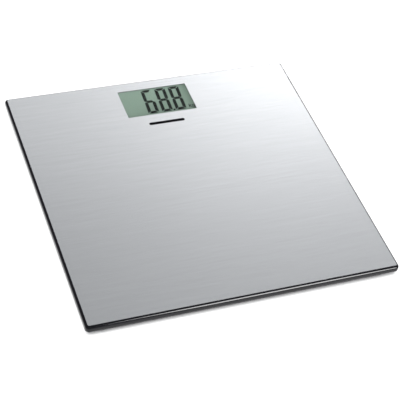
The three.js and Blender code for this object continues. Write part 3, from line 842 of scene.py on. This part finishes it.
class SCALE_OT_battery_door(bpy.types.Operator):
    """Build the sliding battery door with its finger grooves"""

    bl_idname = "scale.battery_door"
    bl_label = "Battery door"

    def execute(self, context):
        low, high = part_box("battery_door")
        middle_y = (low.y + high.y) / 2
        flange_y = (high.y - low.y) / 2
        flange_reach, flange_height = 1.5 * MM, 0.5 * MM
        face_y = flange_y - flange_reach
        flange_z = high.z - flange_height
        soft = 0.25 * MM
        grip_half, grip_depth, grip_pitch, grip_ramp = 7.0 * MM, 0.4 * MM, 2.0 * MM, 0.6 * MM
        grip_count, grip_steps = 4, 48
        grip_start = high.x - 11.0 * MM
        grip_end = grip_start + grip_count * grip_pitch
        across = [face_y - soft - (face_y - soft - grip_half) * (1 - i / 4) for i in range(5)]
        across += [grip_half * i / 4 for i in range(4)][::-1]
        across = sorted({round(y, 7) for y in across} | {round(-y, 7) for y in across})

        def relief(x, y):
            """How far the finger grooves go into the door at a place."""
            if not grip_start < x < grip_end or abs(y) >= grip_half:
                return 0.0
            wave = 0.5 - 0.5 * math.cos(2 * math.pi * (x - grip_start) / grip_pitch)
            return grip_depth * wave * min(1.0, (grip_half - abs(y)) / grip_ramp)

        across += [-grip_half + grip_ramp, grip_half - grip_ramp]
        across.sort()
        stations = [low.x, low.x + soft]
        stations += [
            grip_start + (grip_end - grip_start) * i / grip_steps for i in range(grip_steps + 1)
        ]
        stations += [high.x - soft, high.x]
        bm = bmesh.new()
        loops = []
        for x in stations:
            lift = soft if x in (low.x, high.x) else 0.0
            under = [(y, low.z + lift + relief(x, y)) for y in across]
            side = [
                (face_y, low.z + soft), (face_y, flange_z), (flange_y, flange_z), (flange_y, high.z)
            ]
            loop = under + side + [(-y, z) for y, z in side[::-1]]
            loops.append([bm.verts.new((x, middle_y + y, z)) for y, z in loop])
        wall(bm, loops)
        flat_cap(bm, loops[0])
        flat_cap(bm, loops[-1][::-1])
        plastic = moulded_plastic("door_plastic", context.scene.scale_finishes.tray, 0.46, 1100.0)
        finish_mesh(bm, "battery_cover", [plastic], "battery_door", ["battery_door"])
        return {"FINISHED"}


class SCALE_OT_unit_button(bpy.types.Operator):
    """Build the unit button with its dished face"""

    bl_idname = "scale.unit_button"
    bl_label = "Unit button"

    def execute(self, context):
        low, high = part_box("unit_button")
        centre = ((low + high) / 2).xy
        flange_radius = (high.x - low.x) / 2
        radius = flange_radius - 1.0 * MM
        flange = low.z + 0.75 * MM
        flange_top = flange + 0.75 * MM
        dish_share, dish_depth, dish_steps = 0.8, 0.3 * MM, 8
        soft, stem_radius = 0.4 * MM, 1.5 * MM
        profile = [
            (radius * dish_share * i / dish_steps, low.z + dish_depth * (1 - (i / dish_steps) ** 2))
            for i in range(dish_steps + 1)
        ]
        profile += [
            (radius - inset, z) for inset, z in quarter_round(soft, low.z + soft, -1, 5)[::-1]
        ]
        profile += [
            (radius, flange),
            (flange_radius, flange),
            (flange_radius, flange_top),
            (stem_radius, flange_top),
            (stem_radius, high.z),
            (0.0, high.z),
        ]
        plastic = moulded_plastic("button_plastic", (0.045, 0.048, 0.052), 0.4, 1400.0)
        finish_mesh(
            turned(profile, centre, 72),
            "mode_button",
            [plastic],
            "unit_button",
            ["unit_button"],
        )
        return {"FINISHED"}


class SCALE_OT_inner_parts(bpy.types.Operator):
    """Give every part inside the platform its finish"""

    bl_idname = "scale.inner_parts"
    bl_label = "Inner parts"

    def execute(self, context):
        steel = plated_metal("cell_steel", (0.42, 0.43, 0.44), 0.32, (0.2, 1.0, 1.0))
        zinc = plated_metal("zinc_plate", (0.50, 0.51, 0.50), 0.36)
        spring = plated_metal("spring_steel", (0.62, 0.62, 0.59), 0.24, (1.0, 0.2, 1.0))
        grey = moulded_plastic("clamp_plastic", (0.045, 0.048, 0.052), 0.5)
        finishes = {
            "platform_tape": foam("tape_foam", (0.68, 0.68, 0.64)),
            # The display frame's plastic is made dark grey-green as painted shade, so the frame
            # seen past the window's back edge reads as a shadowed strip.
            "lcd_frame": moulded_plastic("frame_plastic_painted_shade", (0.10, 0.12, 0.11), 0.5),
            "zebra_strip": zebra_rubber(),
            "main_board": circuit_board(),
            "chip_cover": soft_skin("epoxy", (0.008, 0.008, 0.008), 0.35),
            "unit_switch": grey,
            "board_screw": zinc,
            "clamp_screw": zinc,
            "coin_cell": spring,
            "cell_contact": spring,
            "battery_lead_plus": soft_skin("red_insulation", (0.38, 0.02, 0.02), 0.5),
            "battery_lead_minus": soft_skin("black_insulation", (0.012, 0.012, 0.012), 0.5),
            "sensor_lead": soft_skin("grey_insulation", (0.26, 0.27, 0.28), 0.55),
            "load_cell": steel,
            "gauge_cover": soft_skin("gauge_silicone", (0.75, 0.75, 0.70), 0.6),
            "cell_clamp": grey,
        }
        for name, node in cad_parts.items():
            if node.hide_render:
                continue
            found = [key for key in finishes if name.startswith(key)]
            if not found:
                raise RuntimeError(f"no finish for {name}")
            for slot in node.material_slots:
                slot.material = finishes[found[0]]
        return {"FINISHED"}


def aimed(name, kind, place, receiver=None, **settings):
    """A lamp that shines at the origin and is not itself seen.

    With a receiver, it makes reflections in that object alone.
    """
    data = bpy.data.lights.new(name, kind)
    for key, value in settings.items():
        setattr(data, key, value)
    lamp = bpy.data.objects.new(name, data)
    lamp.location = place
    lamp.rotation_mode = "QUATERNION"
    lamp.rotation_quaternion = (-place).to_track_quat("-Z", "Y")
    lamp.visible_camera = False
    lamp.visible_transmission = False
    if receiver:
        lamp.visible_diffuse = False
        lamp.light_linking.receiver_collection = bpy.data.collections.new(f"{name}_receivers")
        lamp.light_linking.receiver_collection.objects.link(bpy.data.objects[receiver])
    else:
        lamp.visible_glossy = False
    bpy.context.scene.collection.objects.link(lamp)


def polar(azimuth, elevation, distance):
    """A point so far from the origin, with its azimuth in degrees from +Y towards +X."""
    a, e = math.radians(azimuth), math.radians(elevation)
    return Vector((math.sin(a) * math.cos(e), math.cos(a) * math.cos(e), math.sin(e))) * distance


class SCALE_OT_stage(bpy.types.Operator):
    """Set up the floor, the lights and the camera"""

    bl_idname = "scale.stage"
    bl_label = "Stage"

    def execute(self, context):
        scene = context.scene
        stage = scene.scale_stage
        bm = bmesh.new()
        half = stage.floor_size / 2
        flat_cap(bm, level(bm, [(-half, -half), (half, -half), (half, half), (-half, half)], 0.0))
        mesh = bpy.data.meshes.new("floor")
        bm.to_mesh(mesh)
        bm.free()
        floor = bpy.data.objects.new("floor", mesh)
        finish = Finish("floor_paper", roughness=0.9)
        finish.shader.inputs["Specular IOR Level"].default_value = 0.0
        finish.colours(finish.noise(3.0), (0.93, 0.93, 0.93), (0.95, 0.95, 0.95))
        mesh.materials.append(finish.material)
        scene.collection.objects.link(floor)

        world = bpy.data.worlds.new("room")
        world.use_nodes = True
        tree = world.node_tree
        tree.nodes.clear()
        output = tree.nodes.new("ShaderNodeOutputWorld")
        room = tree.nodes.new("ShaderNodeBackground")
        room.inputs["Color"].default_value = (0.965, 0.985, 1.0, 1.0)
        room.inputs["Strength"].default_value = stage.room_light
        backdrop = tree.nodes.new("ShaderNodeBackground")
        backdrop.inputs["Color"].default_value = (1.0, 1.0, 1.0, 1.0)
        seen = tree.nodes.new("ShaderNodeLightPath")
        mix = tree.nodes.new("ShaderNodeMixShader")
        tree.links.new(seen.outputs["Is Camera Ray"], mix.inputs["Fac"])
        tree.links.new(room.outputs["Background"], mix.inputs[1])
        tree.links.new(backdrop.outputs["Background"], mix.inputs[2])
        tree.links.new(mix.outputs["Shader"], output.inputs["Surface"])
        scene.world = world
        world.cycles_visibility.transmission = False

        aimed("key", "SUN", polar(-150, 58, 2.0), energy=stage.key_light, angle=math.radians(22))
        card_place = polar(35.4, 13.1, LAMP_DISTANCE)
        sky_place = polar(13.5, 27.7, LAMP_DISTANCE)
        front_place = polar(156, 28, LAMP_DISTANCE)
        for name, place, receiver, power, width, height in (
            ("card", card_place, "steel_sheet", stage.card_light, 1.31, 0.313),
            ("sky", sky_place, "steel_sheet", stage.sky_light, 1.74, 1.52),
            ("front", front_place, "glass_plate", stage.front_light, 0.9, 1.8),
        ):
            box = {"shape": "RECTANGLE", "size": width, "size_y": height, "energy": power}
            aimed(name, "AREA", place, receiver, **box)

        camera_data = bpy.data.cameras.new("camera")
        camera_data.lens = stage.focal_length
        camera_data.sensor_width = 36.0
        camera_data.clip_start = 0.05
        camera_data.clip_end = 30.0
        camera = bpy.data.objects.new("camera", camera_data)
        a, e = stage.camera_azimuth, stage.camera_elevation
        back = Vector((math.sin(a) * math.cos(e), -math.cos(a) * math.cos(e), math.sin(e)))
        aim = (-back).to_track_quat("-Z", "Y").to_matrix().to_4x4()
        turn = aim @ Matrix.Rotation(stage.camera_roll, 4, "Z")
        stand = Vector(stage.camera_target) + back * stage.camera_distance
        camera.matrix_world = Matrix.Translation(stand) @ turn
        scene.collection.objects.link(camera)
        scene.camera = camera
        scene.view_settings.view_transform = "Standard"
        return {"FINISHED"}


BUILD_ORDER = (
    SCALE_OT_steel_sheet,
    SCALE_OT_glass_plate,
    SCALE_OT_display,
    SCALE_OT_tray,
    SCALE_OT_feet,
    SCALE_OT_battery_door,
    SCALE_OT_unit_button,
    SCALE_OT_inner_parts,
    SCALE_OT_stage,
)


class SCALE_PT_panel(bpy.types.Panel):
    """Sizes, colours and build steps of the scale"""

    bl_idname = "SCALE_PT_panel"
    bl_label = "Bathroom Scale"
    bl_space_type = "VIEW_3D"
    bl_region_type = "UI"
    bl_category = "Scale"

    def draw(self, context):
        for group in (
            context.scene.scale_sizes, context.scene.scale_finishes, context.scene.scale_stage
        ):
            column = self.layout.column(align=True)
            for name in group.__annotations__:
                column.prop(group, name)
        column = self.layout.column(align=True)
        for operator in BUILD_ORDER:
            column.operator(operator.bl_idname)


CLASSES = (ScaleSizes, ScaleFinishes, StageSettings, *BUILD_ORDER, SCALE_PT_panel)


def register():
    """Adds the settings, the operators and the panel."""
    for item in CLASSES:
        bpy.utils.register_class(item)
    bpy.types.Scene.scale_sizes = PointerProperty(type=ScaleSizes)
    bpy.types.Scene.scale_finishes = PointerProperty(type=ScaleFinishes)
    bpy.types.Scene.scale_stage = PointerProperty(type=StageSettings)


def unregister():
    """Takes them away again."""
    del bpy.types.Scene.scale_stage
    del bpy.types.Scene.scale_finishes
    del bpy.types.Scene.scale_sizes
    for item in reversed(CLASSES):
        bpy.utils.unregister_class(item)


def main():
    """Builds every piece."""
    register()
    for operator in BUILD_ORDER:
        group, name = operator.bl_idname.split(".")
        getattr(getattr(bpy.ops, group), name)()


if __name__ == "__main__":
    main()
